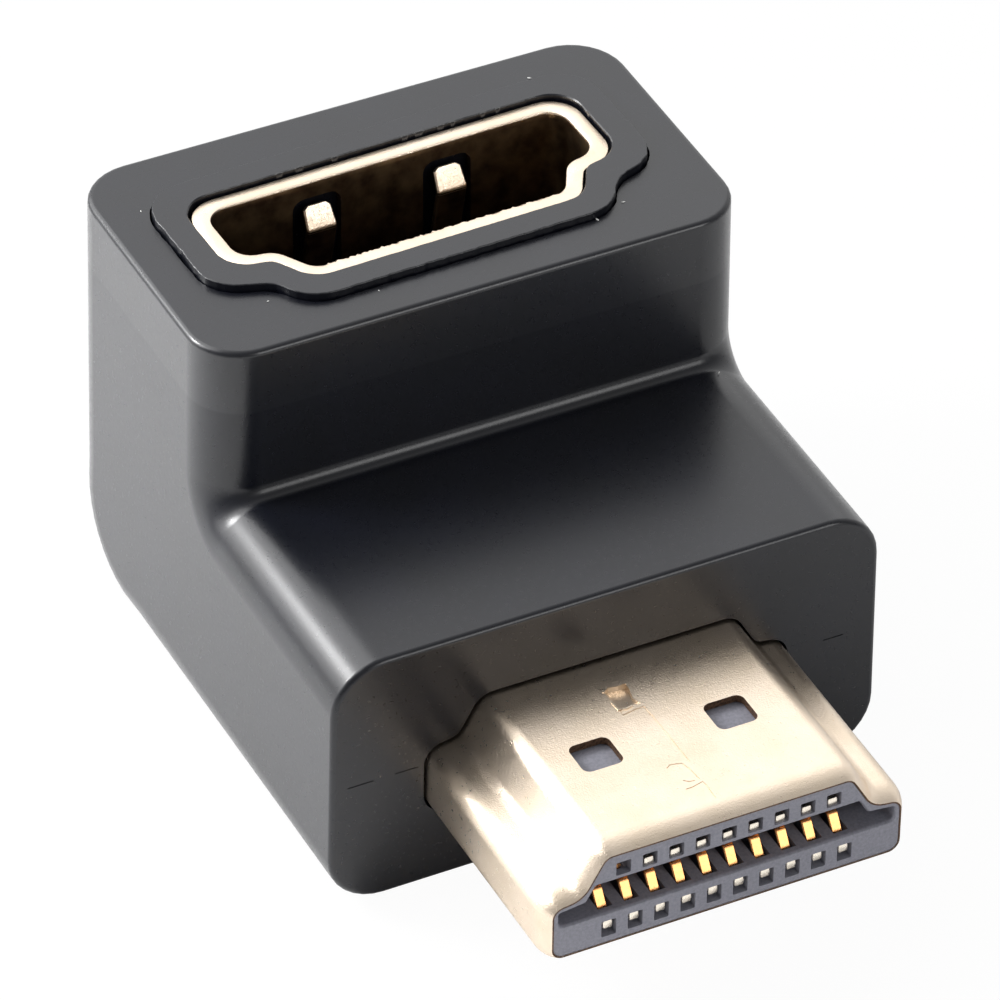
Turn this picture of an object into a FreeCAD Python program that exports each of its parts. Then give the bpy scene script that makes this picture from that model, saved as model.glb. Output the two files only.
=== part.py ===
import FreeCAD, Part
import math
import os
import re
import Sketcher
from FreeCAD import Placement, Rotation, Vector

# Right angle adapter: a plug that points along -Y and a socket that opens along +Z, in one L-shaped
# moulded body. Millimetres. The origin is under the middle of the whole part, on the surface that
# it rests on.

SIZES = {
    # Moulded body
    "body_side": 3.55,         # body beside the plug and the socket
    "body_height": 16.8,
    "arm_height": 10.5,
    "arm_reach": 9.85,         # from the front face to the stem
    "stem_depth": 11.9,
    "bend_radius": 4.4,        # outside of the elbow
    "elbow_radius": 0.4,       # inside of the elbow
    "inner_rounding": 2.0,     # long edges on the inside of the L
    "outer_rounding": 2.2,     # long edges on the outside of the L
    "rim_rounding": 0.35,      # edges of the two end faces
    # Walls of the body round its core
    "front_wall": 1.4,
    "floor_wall": 2.0,
    "back_wall": 1.15,
    "roof_wall": 1.1,
    "side_wall": 1.6,
    "core_bend": 2.6,
    "core_rounding": 0.8,
    "mould_gap": 0.05,
    # Outline that plug and socket share: wide side down, narrow side up
    "plug_width": 13.9,
    "plug_height": 4.45,
    "wide_height": 2.75,       # height of the upright sides
    "land_width": 1.25,        # shoulder beside the narrow part
    "land_rise": 0.2,
    "narrow_width": 9.7,
    "convex_radius": 0.75,
    "concave_radius": 0.6,
    "fit_gap": 0.05,           # between pieces that slide into each other
    "sheet_wall": 0.3,         # steel sheet of both shells
    # Plug
    "plug_reach": 9.0,
    "plug_level": 5.35,        # middle of the plug over the floor
    "plug_inside": 2.6,        # length of plug inside the body
    "mouth_length": 1.0,
    "mouth_roll": 0.3,         # outside of the rolled-in mouth
    "mouth_coin": 0.1,         # inside of the mouth, where the sheet is thinned
    "mouth_recess": 0.05,      # insulator behind the mouth
    "window_place": 2.57,
    "window_width": 1.5,
    "window_length": 1.45,
    "window_start": 3.65,
    "window_rounding": 0.25,
    "ear_length": 2.2,
    "ear_width": 1.0,
    "ear_level": 1.55,
    # Slot in the plug's insulator and tongue in the socket
    "slot_floor": 1.65,
    "slot_roof": 3.0,
    "slot_wall": 0.12,         # between the slot and the outside of the insulator
    "slot_length": 7.8,
    "tongue_gap": 0.12,
    "tongue_width": 10.2,
    "tongue_recess": 2.3,      # tongue below the socket's lip
    "tongue_cap": 0.4,         # tongue above its contacts
    # Contact cells
    "pitch": 1.0,
    "cell_width": 0.56,
    "wide_cell_middle": 0.965,
    "wide_cell_height": 0.68,
    "narrow_cell_middle": 3.47,
    "narrow_cell_height": 0.56,
    "cell_bridge": 0.3,        # insulator between the slot and the cells' mouths
    "cell_open": 5.6,
    # Contacts
    "strip_width": 0.42,
    "strip_thick": 0.15,
    "tip_place": 0.2,          # behind the insulator's face
    "wide_tip_drop": 0.6,      # outwards from the slot's wall
    "narrow_tip_drop": 0.3,
    "ramp_place": 0.35,
    "crest_place": 1.0,
    "crest_length": 0.3,       # flat that touches the socket's tongue
    "crest_rise": 0.42,        # contact above the slot's wall
    "spring_root": 6.2,
    "tail_length": 2.4,
    "tail_step": 0.7,
    "pin_gap": 0.03,
    "pin_stand": 0.8,
    # Circuit board
    "board_thick": 0.8,
    "board_margin": 0.8,       # between the board and the sides of the core
    "board_neck": 12.6,
    "neck_length": 2.6,
    "board_gap": 0.2,          # between the board and the walls of its slot
    "board_corner": 0.4,
    "board_ledge": 0.7,
    "chamber_height": 1.5,     # room over and under the board
    "hole_gap": 0.08,
    "leg_slot_gap": 0.1,
    # Socket
    "socket_set": 4.0,         # wide side of the socket to the back of the body
    "socket_gap": 0.05,        # between plug and socket, each side
    "lip_stand": 0.1,
    "lip_height": 0.5,
    "lip_width": 0.7,          # lip outside the mating outline
    "lip_radius": 1.2,
    "lip_cove": 0.3,
    "collar_stand": 0.3,
    "collar_width": 1.8,       # collar outside the mating outline
    "collar_rounding": 1.6,
    "base_height": 3.6,        # socket insulator below its tongue
    # Spring fingers and legs of the socket
    "finger_place": 2.57,
    "finger_slot": 1.9,
    "finger_width": 1.15,
    "finger_top": 0.7,         # top of the finger's slot below the lip
    "finger_length": 5.6,
    "finger_bow": 0.45,
    "finger_seat": 0.4,
    "finger_crest": 1.3,
    "finger_tip": 0.4,
    "finger_thick": 0.25,
    "leg_width": 1.2,
    "leg_length": 1.6,
    "leg_place": 4.6,
    "side_leg_level": 1.5,
}
WIDE_COUNT = 10
NARROW_COUNT = 9
NEAR = 1e-4

FRONT = "(plug_reach - arm_reach - stem_depth) / 2"
PLUG_FLOOR = "(plug_level - plug_height / 2)"
SOCKET_BACK = "(arm_reach + stem_depth - socket_set)"
LIP_TOP = "(body_height + lip_stand)"
BOARD_MIDDLE = f"({PLUG_FLOOR} + (slot_floor + slot_roof) / 2)"
BOARD_TOP = f"({BOARD_MIDDLE} + board_thick / 2)"
BOARD_UNDER = f"({BOARD_MIDDLE} - board_thick / 2)"
CORE_BACK = "(arm_reach + stem_depth - back_wall)"
CORE_ROOF = "(arm_height - roof_wall)"
BOARD_START = "(plug_inside + fit_gap)"
BOARD_END = f"({CORE_BACK} - back_wall)"
BODY_WIDTH = "(plug_width + 2 * body_side)"
CORE_WIDTH = f"({BODY_WIDTH} - 2 * side_wall)"
BOARD_WIDTH = f"({CORE_WIDTH} - 2 * board_margin)"

doc = FreeCAD.newDocument("right_angle_adapter")
sheet = doc.addObject("Spreadsheet::Sheet", "Sizes")
for row, (alias, size) in enumerate(SIZES.items(), 1):
    sheet.set(f"A{row}", alias)
    sheet.set(f"B{row}", str(size))
    sheet.setAlias(f"B{row}", alias)
doc.recompute()


def linked(expression):
    """The expression with each size's name as a cell of the sheet."""
    return re.sub(r"[a-z_]+", lambda word: "Sizes." + word[0] if word[0] in SIZES else word[0], expression)


def number(expression):
    return float(sheet.evalExpression(linked(expression)))


def bind(thing, **properties):
    """Ties properties to the sheet, such as Length or Placement_Base_x."""
    for name, expression in properties.items():
        thing.setExpression(name.replace("_", "."), linked(expression))
    return thing


def new_body(name, along="0", up="0"):
    """A body whose own frame starts at the body's front face."""
    body = doc.addObject("PartDesign::Body", name)
    body.Label = name
    bind(body, Placement_Base_y=f"{FRONT} + {along}", Placement_Base_z=up)
    return body


def new_sketch(body, plane, offset="0"):
    sketch = body.newObject("Sketcher::SketchObject", f"{body.Name}_outline")
    origin = next(f for f in body.Origin.OriginFeatures if f.Role == plane)
    sketch.AttachmentSupport = (origin, [""])
    sketch.MapMode = "FlatFace"
    bind(sketch, AttachmentOffset_Base_z=offset)
    return sketch


class Rules:
    """A sketch's constraints, added in one go, and the expressions that drive them."""

    def __init__(self, sketch):
        self.sketch, self.rules, self.driven = sketch, [], {}

    def add(self, kind, *items):
        self.rules.append(Sketcher.Constraint(kind, *items))

    def drive(self, kind, expression, *items):
        self.driven[len(self.rules)] = expression
        self.add(kind, *items, number(expression))

    def hold(self, geometry, end, x, y):
        """Fixes a point of the sketch at two expressions."""
        for kind, expression, axis in (("DistanceX", x, -2), ("DistanceY", y, -1)):
            if expression == "0":
                self.add("PointOnObject", geometry, end, axis)
            else:
                self.drive(kind, expression, -1, 1, geometry, end)

    def apply(self):
        start = len(self.sketch.Constraints)
        self.sketch.addConstraint(self.rules)
        for index, expression in self.driven.items():
            self.sketch.setExpression(f"Constraints[{start + index}]", linked(expression))


def rounded(before, corner, after, radius):
    """Start, middle and end of the arc that rounds a corner."""
    back, ahead = (before - corner).normalize(), (after - corner).normalize()
    half = back.getAngle(ahead) / 2
    reach = radius / math.tan(half)
    centre = corner + (back + ahead).normalize() * (radius / math.sin(half))
    return corner + back * reach, centre + (corner - centre).normalize() * radius, corner + ahead * reach


def outline(sketch, corners):
    """A closed outline of straight sides, with an arc wherever a corner names a radius."""
    points = [Vector(number(x), number(y), 0) for x, y, _ in corners]
    around = range(len(corners))
    arcs = [None if corners[i][2] == "0" else
            rounded(points[i - 1], points[i], points[(i + 1) % len(points)], number(corners[i][2]))
            for i in around]
    starts = [arcs[i][2] if arcs[i] else points[i] for i in around]
    ends = [arcs[i][0] if arcs[i] else points[i] for i in around]
    sides = [sketch.addGeometry(Part.LineSegment(starts[i], ends[(i + 1) % len(points)])) for i in around]
    rules = Rules(sketch)
    for i in around:
        before, after, (x, y, radius) = sides[i - 1], sides[i], corners[i]
        if arcs[i] is None:
            rules.add("Coincident", before, 2, after, 1)
            rules.hold(after, 1, x, y)
            continue
        start, middle, end = arcs[i]
        first = 1 if (middle - start).cross(end - middle).z > 0 else 2
        arc = sketch.addGeometry(Part.Arc(*arcs[i][::3 - 2 * first]))
        apex = sketch.addGeometry(Part.Point(points[i]), True)
        rules.add("Tangent", before, 2, arc, first)
        rules.add("Tangent", arc, 3 - first, after, 1)
        rules.drive("Radius", radius, arc)
        rules.add("PointOnObject", apex, 1, before)
        rules.add("PointOnObject", apex, 1, after)
        rules.hold(apex, 1, x, y)
    rules.apply()


def mirrored(corners):
    """Corners of the right half, and their mirror images."""
    return corners + [(f"-({x})", y, radius) for x, y, radius in reversed(corners)]


def rectangle(left, right, near, far, radius="0"):
    return [(left, near, radius), (right, near, radius), (right, far, radius), (left, far, radius)]


def mitre(slope):
    """Sideways move of a corner for each millimetre of inset."""
    return f"(sqrt(1 + {slope}^2) - {slope})"


SLOPE = "((plug_width / 2 - land_width - narrow_width / 2) / (plug_height - wide_height - land_rise))"
SLOPE_MITRE = mitre(SLOPE)
LAND_MITRE = mitre("(land_rise / land_width)")


def mating_outline(inset, origin="0", sign="", convex=None, concave=None):
    """The outline that plug and socket share, moved inwards by inset; v grows from its wide side."""
    convex = convex or f"convex_radius - ({inset})"
    concave = concave or f"concave_radius + ({inset})"
    half = f"plug_width / 2 - ({inset})"
    narrow = f"({inset}) * {SLOPE_MITRE}"
    points = [
        (half, f"({inset})", convex),
        (half, f"wide_height - ({inset}) * {LAND_MITRE}", convex),
        (f"plug_width / 2 - land_width - {narrow}", f"wide_height + land_rise - ({inset})", concave),
        (f"narrow_width / 2 - {narrow}", f"plug_height - ({inset})", convex),
    ]
    return mirrored([(x, f"{origin} + {sign}1 * ({v})", radius) for x, v, radius in points])


def extrude(body, kind, sketch, length, symmetric=False, reverse=False):
    feature = body.newObject(f"PartDesign::{kind}", f"{body.Name}_{kind}")
    feature.Profile = sketch
    feature.SideType = "Symmetric" if symmetric else "One side"
    feature.Reversed = reverse
    bind(feature, Length=length)
    sketch.Visibility = False
    body.Tip = feature
    return feature


def pad(body, sketch, length, **options):
    return extrude(body, "Pad", sketch, length, **options)


def pocket(body, sketch, length, **options):
    return extrude(body, "Pocket", sketch, length, **options)


def loft(body, kind, first, last):
    feature = body.newObject(f"PartDesign::{kind}", f"{body.Name}_{kind}")
    feature.Profile = first
    feature.Sections = [last]
    feature.Ruled = True
    body.Tip = feature
    return feature


def fillet(body, radius, test):
    """Rounds the edges of the body so far whose box passes the test."""
    doc.recompute()
    base = body.Tip
    names = [f"Edge{i}" for i, edge in enumerate(base.Shape.Edges, 1) if test(edge.BoundBox)]
    feature = body.newObject("PartDesign::Fillet", f"{body.Name}_Fillet")
    feature.Base = (base, names)
    bind(feature, Radius=radius)
    body.Tip = feature
    return feature


def row_pattern(body, features, count):
    """Repeats features along X at the contacts' pitch."""
    feature = body.newObject("PartDesign::LinearPattern", f"{body.Name}_LinearPattern")
    feature.Originals = features
    axis = next(f for f in body.Origin.OriginFeatures if f.Role == "X_Axis")
    feature.Direction = (axis, [""])
    feature.Mode = "Spacing"
    feature.Occurrences = count
    bind(feature, Offset="pitch")
    body.Tip = feature
    return feature


def drawn(body, plane, offset, *outlines):
    sketch = new_sketch(body, plane, offset)
    for corners in outlines:
        outline(sketch, corners)
    return sketch


def first_place(count):
    """X of the first contact of a row."""
    return f"(-pitch * {(count - 1) / 2})"


def core_profile(grow):
    """Side view of the body's core, grown by a gap."""
    back, roof = f"{CORE_BACK} + {grow}", f"{CORE_ROOF} + {grow}"
    front, floor = f"front_wall - {grow}", f"floor_wall - {grow}"
    corner = f"core_rounding + {grow}"
    return [(front, floor, corner), (back, floor, f"core_bend + {grow}"),
            (back, roof, corner), (front, roof, corner)]


def collar_outline(grow):
    """Plan of the collar, grown by a gap."""
    return mating_outline(f"-collar_width - {grow}", SOCKET_BACK, "-", f"collar_rounding + {grow}",
                          f"collar_rounding - {grow}")


def make_housing():
    body = new_body("housing")
    depth = "arm_reach + stem_depth"
    profile = [("0", "0", "0"), (depth, "0", "bend_radius"), (depth, "body_height", "0"),
               ("arm_reach", "body_height", "0"), ("arm_reach", "arm_height", "elbow_radius"),
               ("0", "arm_height", "0")]
    pad(body, drawn(body, "YZ_Plane", "0", profile), BODY_WIDTH, symmetric=True)
    side, front, back = number(BODY_WIDTH) / 2, number("arm_reach"), number(depth)
    arm, top = number("arm_height"), number("body_height")

    def on_side(box):
        return box.XLength < NEAR and abs(abs(box.XMin) - side) < NEAR

    fillet(body, "outer_rounding", lambda box: on_side(box) and box.YMax > NEAR
           and (box.ZMin < NEAR or box.YMin > back - NEAR))
    fillet(body, "inner_rounding", lambda box: on_side(box) and box.ZMin > arm - NEAR
           and box.YMax < front + NEAR)
    fillet(body, "rim_rounding", lambda box: box.YMax < NEAR or box.ZMin > top - NEAR)
    pocket(body, drawn(body, "YZ_Plane", "0", core_profile("mould_gap")),
           f"{CORE_WIDTH} + 2 * mould_gap", symmetric=True)
    pocket(body, drawn(body, "XY_Plane", "body_height", collar_outline("mould_gap")),
           f"body_height - {CORE_ROOF}")
    pocket(body, drawn(body, "XZ_Plane", "0", mating_outline("-mould_gap", PLUG_FLOOR)), "front_wall")
    return body


def make_inner_mould():
    body = new_body("inner_mould")
    pad(body, drawn(body, "YZ_Plane", "0", core_profile("0")), CORE_WIDTH, symmetric=True)
    pad(body, drawn(body, "XY_Plane", f"{CORE_ROOF} - core_rounding", collar_outline("0")),
        f"body_height + collar_stand - {CORE_ROOF} + core_rounding")
    top = "(body_height + collar_stand)"
    pocket(body, drawn(body, "XZ_Plane", "-front_wall", mating_outline("-fit_gap", PLUG_FLOOR)),
           "plug_inside - front_wall + fit_gap")
    slot = rectangle(f"-{BOARD_WIDTH} / 2 - board_gap", f"{BOARD_WIDTH} / 2 + board_gap", "plug_inside",
                     f"{BOARD_END} + board_gap")
    pocket(body, drawn(body, "XY_Plane", f"{BOARD_TOP} + board_gap", slot), "board_thick + board_gap")
    room = rectangle(f"-{BOARD_WIDTH} / 2 + board_ledge", f"{BOARD_WIDTH} / 2 - board_ledge", "plug_inside",
                     f"{BOARD_END} - board_ledge")
    pocket(body, drawn(body, "XY_Plane", f"{BOARD_TOP} + chamber_height", room),
           "board_thick + 2 * chamber_height")
    shaft = mating_outline("-socket_gap - sheet_wall - fit_gap", SOCKET_BACK, "-")
    pocket(body, drawn(body, "XY_Plane", top, shaft), f"{top} - {BOARD_TOP}")
    seat = mating_outline("-lip_width - fit_gap", SOCKET_BACK, "-", "lip_radius", "lip_cove")
    pocket(body, drawn(body, "XY_Plane", top, seat), "collar_stand - lip_stand + lip_height + fit_gap")
    return body


def make_plug_shell():
    body = new_body("plug_shell", up=PLUG_FLOOR)
    taper_start = "plug_reach - mouth_length"
    pad(body, drawn(body, "XZ_Plane", "-plug_inside", mating_outline("0")), f"plug_inside + {taper_start}")
    loft(body, "AdditiveLoft", drawn(body, "XZ_Plane", taper_start, mating_outline("0")),
         drawn(body, "XZ_Plane", "plug_reach", mating_outline("mouth_roll")))
    ears = [rectangle(f"{side} * (plug_width / 2 - sheet_wall / 2) - sheet_wall / 2",
                      f"{side} * (plug_width / 2 - sheet_wall / 2) + sheet_wall / 2",
                      "plug_inside - mouth_length", "plug_inside + ear_length") for side in ("-1", "1")]
    pocket(body, drawn(body, "XZ_Plane", taper_start, mating_outline("sheet_wall")),
           f"plug_inside + {taper_start}")
    loft(body, "SubtractiveLoft", drawn(body, "XZ_Plane", taper_start, mating_outline("sheet_wall")),
         drawn(body, "XZ_Plane", "plug_reach", mating_outline("sheet_wall + mouth_coin")))
    pad(body, drawn(body, "XY_Plane", "ear_level - ear_width / 2", *ears), "ear_width")
    half = "window_width / 2"
    windows = [rectangle(f"{side} * window_place - {half}", f"{side} * window_place + {half}",
                         "-window_start - window_length", "-window_start", "window_rounding")
               for side in ("-1", "1")]
    pocket(body, drawn(body, "XY_Plane", "0", *windows), "3 * plug_height", symmetric=True)
    return body


def slot_outline():
    """The plug's slot: it follows the shared outline inside a thin wall, between its floor and roof."""
    inset = "(sheet_wall + fit_gap + mouth_coin + slot_wall)"
    shoulder = f"(plug_width / 2 - land_width - {inset} * {SLOPE_MITRE})"
    shoulder_level = f"(wide_height + land_rise - {inset})"
    return mirrored([
        (f"plug_width / 2 - {inset}", "slot_floor", "0"),
        (f"plug_width / 2 - {inset}", f"wide_height - {inset} * {LAND_MITRE}", "0"),
        (shoulder, shoulder_level, "0"),
        (f"{shoulder} - (slot_roof - {shoulder_level}) * {SLOPE}", "slot_roof", "0"),
    ])


def make_plug_insulator():
    body = new_body("plug_insulator", up=PLUG_FLOOR)
    inset = "sheet_wall + fit_gap"
    taper_start = "plug_reach - mouth_length"
    face = "(plug_reach - mouth_recess)"
    pad(body, drawn(body, "XZ_Plane", "-plug_inside", mating_outline(inset)),
        f"plug_inside + {taper_start}")
    loft(body, "AdditiveLoft", drawn(body, "XZ_Plane", taper_start, mating_outline(inset)),
         drawn(body, "XZ_Plane", face,
               mating_outline(f"{inset} + mouth_coin * (1 - mouth_recess / mouth_length)")))
    pocket(body, drawn(body, "XZ_Plane", face, slot_outline()), "slot_length")
    for count, middle, height, level, depth, upwards in (
            (WIDE_COUNT, "wide_cell_middle", "wide_cell_height",
             "slot_floor", "slot_floor - wide_cell_middle", False),
            (NARROW_COUNT, "narrow_cell_middle", "narrow_cell_height",
             "slot_roof", "narrow_cell_middle - slot_roof", True)):
        left, right = f"{first_place(count)} - cell_width / 2", f"{first_place(count)} + cell_width / 2"
        cell = rectangle(left, right, f"{middle} - {height} / 2", f"{middle} + {height} / 2")
        mouth = rectangle(left, right, f"-{face} + cell_bridge", f"-{face} + cell_open")
        cuts = [pocket(body, drawn(body, "XZ_Plane", face, cell), f"{face} + plug_inside"),
                pocket(body, drawn(body, "XY_Plane", level, mouth), depth, reverse=upwards)]
        row_pattern(body, cuts, count)
    return body


def strip_sketch(name, path):
    """Side view of a bent strip along a path of (y, z, radius)."""
    sketch = doc.addObject("Sketcher::SketchObject", name)
    sketch.Placement = Placement(Vector(), Rotation(Vector(1, 1, 1), 120))
    under = [(y, f"{z} - strip_thick / 2", bend) for y, z, bend in path]
    over = [(y, f"{z} + strip_thick / 2", bend) for y, z, bend in reversed(path)]
    outline(sketch, under + over)
    return sketch


def contact_row(name, sketch, count, along, up):
    """One row of contacts, each a strip pressed out of the same profile."""
    strips = []
    for place in range(count):
        label = f"{name}_{place + 1:02d}"
        strip = doc.addObject("Part::Extrusion", label)
        strip.Label = label
        strip.Base = sketch
        strip.DirMode = "Normal"
        strip.Solid = True
        strip.Symmetric = True
        bind(strip, LengthFwd="strip_width", Placement_Base_x=f"{first_place(count)} + {place} * pitch",
             Placement_Base_y=f"{FRONT} + {along}", Placement_Base_z=up)
        strips.append(strip)
    return strips


def make_plug_contacts():
    face = "(plug_reach - mouth_recess)"
    strips = []
    for name, count, wall, inwards, drop, middle, board_face in (
            ("plug_contact_wide", WIDE_COUNT, "slot_floor", "+", "wide_tip_drop", "wide_cell_middle",
             f"({BOARD_UNDER} - {PLUG_FLOOR} - strip_thick / 2)"),
            ("plug_contact_narrow", NARROW_COUNT, "slot_roof", "-", "narrow_tip_drop", "narrow_cell_middle",
             f"({BOARD_TOP} - {PLUG_FLOOR} + strip_thick / 2)")):
        tip = f"({wall} {inwards} (-{drop}))"
        crest = f"({wall} {inwards} (crest_rise - strip_thick / 2))"
        path = [
            (f"-{face} + tip_place", tip, "0"),
            (f"-{face} + ramp_place", tip, "0"),
            (f"-{face} + crest_place", crest, "0"),
            (f"-{face} + crest_place + crest_length", crest, "0"),
            (f"-{face} + spring_root", middle, "0"),
            (BOARD_START, middle, "0"),
            (f"{BOARD_START} + tail_step", board_face, "0"),
            (f"{BOARD_START} + tail_step + tail_length", board_face, "0"),
        ]
        strips += contact_row(name, strip_sketch(f"{name}_profile", path), count, "0", PLUG_FLOOR)
    return strips


def make_socket_shell():
    body = new_body("socket_shell", along=SOCKET_BACK)
    lip_start = f"{LIP_TOP} - lip_height"
    pad(body, drawn(body, "XY_Plane", BOARD_TOP, mating_outline("-socket_gap - sheet_wall", sign="-")),
        f"{lip_start} - {BOARD_TOP}")
    lip = mating_outline("-lip_width", "0", "-", "lip_radius", "lip_cove")
    pad(body, drawn(body, "XY_Plane", lip_start, lip), "lip_height")
    pocket(body, drawn(body, "XY_Plane", LIP_TOP, mating_outline("-socket_gap", sign="-")),
           f"{LIP_TOP} - {BOARD_TOP}")
    slot_top = f"({LIP_TOP} - finger_top)"
    half = "finger_slot / 2"
    slots = [rectangle(f"{side} * finger_place - {half}", f"{side} * finger_place + {half}",
                       f"{slot_top} - finger_length", slot_top) for side in ("-1", "1")]
    pocket(body, drawn(body, "XZ_Plane", "0", *slots), "3 * plug_height", symmetric=True)
    for wall, inwards in (("(socket_gap + sheet_wall / 2)", "-"),
                          ("(-plug_height - socket_gap - sheet_wall / 2)", "+")):
        bow = f"({wall} {inwards} finger_bow)"
        root = f"{slot_top} - finger_length"
        path = [(wall, f"{root} - finger_seat"), (wall, f"{root} + finger_seat"),
                (bow, f"{slot_top} - finger_crest"), (wall, f"{slot_top} - finger_tip")]
        front = [(f"{y} - finger_thick / 2", z, "0") for y, z in path]
        back = [(f"{y} + finger_thick / 2", z, "0") for y, z in reversed(path)]
        for side in ("-1", "1"):
            pad(body, drawn(body, "YZ_Plane", f"{side} * finger_place", front + back), "finger_width",
                symmetric=True)
    legs = [rectangle(f"{side} * (plug_width / 2 + socket_gap + sheet_wall / 2) - sheet_wall / 2",
                      f"{side} * (plug_width / 2 + socket_gap + sheet_wall / 2) + sheet_wall / 2",
                      "-side_leg_level - leg_width / 2", "-side_leg_level + leg_width / 2")
            for side in ("-1", "1")]
    legs += [rectangle(f"{side} * leg_place - leg_width / 2", f"{side} * leg_place + leg_width / 2",
                       "socket_gap", "socket_gap + sheet_wall") for side in ("-1", "1")]
    pad(body, drawn(body, "XY_Plane", f"{BOARD_TOP} + leg_width", *legs),
        "leg_width + leg_length", reverse=True)
    return body


def make_socket_insulator():
    body = new_body("socket_insulator", along=SOCKET_BACK)
    base_top = f"({BOARD_TOP} + base_height)"
    tongue_top = f"({LIP_TOP} - tongue_recess)"
    pad(body, drawn(body, "XY_Plane", BOARD_TOP, mating_outline("fit_gap - socket_gap", sign="-")),
        "base_height")
    tongue = rectangle("-tongue_width / 2", "tongue_width / 2", "-(slot_roof - tongue_gap)",
                       "-(slot_floor + tongue_gap)")
    pad(body, drawn(body, "XY_Plane", BOARD_TOP, tongue), f"{tongue_top} - {BOARD_TOP}")
    for count, level, towards in ((WIDE_COUNT, "(slot_floor + tongue_gap)", "+"),
                                  (NARROW_COUNT, "(slot_roof - tongue_gap)", "-")):
        place = first_place(count)
        groove = rectangle(f"{place} - strip_width / 2 - pin_gap", f"{place} + strip_width / 2 + pin_gap",
                           f"-({level} {towards} (strip_thick + pin_gap))", f"-({level})")
        cut = pocket(body, drawn(body, "XY_Plane", f"{tongue_top} - tongue_cap", groove),
                     f"{tongue_top} - tongue_cap - {BOARD_TOP}")
        row_pattern(body, [cut], count)
    return body


def make_socket_contacts():
    strips = []
    top = f"({LIP_TOP} - tongue_recess - tongue_cap - pin_gap)"
    for name, count, middle in (
            ("socket_contact_wide", WIDE_COUNT,
             "-(slot_floor + tongue_gap + strip_thick / 2 + pin_gap / 2)"),
            ("socket_contact_narrow", NARROW_COUNT,
             "-(slot_roof - tongue_gap - strip_thick / 2 - pin_gap / 2)")):
        sketch = doc.addObject("Sketcher::SketchObject", f"{name}_profile")
        sketch.Placement = Placement(Vector(), Rotation(Vector(1, 1, 1), 120))
        outline(sketch, rectangle(f"{middle} - strip_thick / 2", f"{middle} + strip_thick / 2",
                                  f"{BOARD_UNDER} - pin_stand", top))
        strips += contact_row(name, sketch, count, SOCKET_BACK, "0")
    return strips


def make_circuit_board():
    body = new_body("circuit_board", up=BOARD_UNDER)
    neck = f"{BOARD_START} + neck_length"
    half = [("board_neck / 2", BOARD_START, "0"), ("board_neck / 2", neck, "board_corner"),
            (f"{BOARD_WIDTH} / 2", neck, "board_corner"), (f"{BOARD_WIDTH} / 2", BOARD_END, "board_corner")]
    pad(body, drawn(body, "XY_Plane", "0", mirrored(half)), "board_thick")
    side = "(plug_width / 2 + socket_gap + sheet_wall / 2)"
    reach, across = "(sheet_wall / 2 + leg_slot_gap)", "(leg_width / 2 + leg_slot_gap)"
    slots = []
    for sign in ("-1", "1"):
        slots.append(rectangle(f"{sign} * {side} - {reach}", f"{sign} * {side} + {reach}",
                               f"{SOCKET_BACK} - side_leg_level - {across}",
                               f"{SOCKET_BACK} - side_leg_level + {across}"))
        slots.append(rectangle(f"{sign} * leg_place - {across}", f"{sign} * leg_place + {across}",
                               f"{SOCKET_BACK} + socket_gap - leg_slot_gap",
                               f"{SOCKET_BACK} + socket_gap + sheet_wall + leg_slot_gap"))
    pocket(body, drawn(body, "XY_Plane", "board_thick", *slots), "board_thick")
    for count, level in ((WIDE_COUNT, "(slot_floor + tongue_gap + (strip_thick + pin_gap) / 2)"),
                         (NARROW_COUNT, "(slot_roof - tongue_gap - (strip_thick + pin_gap) / 2)")):
        place, middle = first_place(count), f"{SOCKET_BACK} - {level}"
        hole = rectangle(f"{place} - strip_width / 2 - hole_gap", f"{place} + strip_width / 2 + hole_gap",
                         f"{middle} - strip_thick / 2 - hole_gap", f"{middle} + strip_thick / 2 + hole_gap")
        cut = pocket(body, drawn(body, "XY_Plane", "board_thick", hole), "board_thick")
        row_pattern(body, [cut], count)
    return body


pieces = [make_housing(), make_inner_mould(), make_circuit_board()]
pieces += [make_plug_shell(), make_plug_insulator()]
pieces += make_plug_contacts()
pieces += [make_socket_shell(), make_socket_insulator()]
pieces += make_socket_contacts()
doc.recompute()

for thing in doc.Objects:
    if {"Invalid", "Error"} & set(thing.State):
        raise RuntimeError(f"{thing.Name} failed: {thing.State}")
    if thing.TypeId == "PartDesign::Pocket" and thing.Shape.Volume >= thing.BaseFeature.Shape.Volume - NEAR:
        raise RuntimeError(f"{thing.Name} cuts nothing")

os.makedirs("parts", exist_ok=True)
for piece in pieces:
    if piece.Shape.isNull() or not piece.Shape.isValid() or len(piece.Shape.Solids) != 1:
        raise RuntimeError(f"{piece.Label} isn't one valid solid")
    piece.Shape.exportStep(f"parts/{piece.Label}.step")
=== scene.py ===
import math

import bmesh
import bpy
from mathutils import Matrix, Vector, noise


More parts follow.
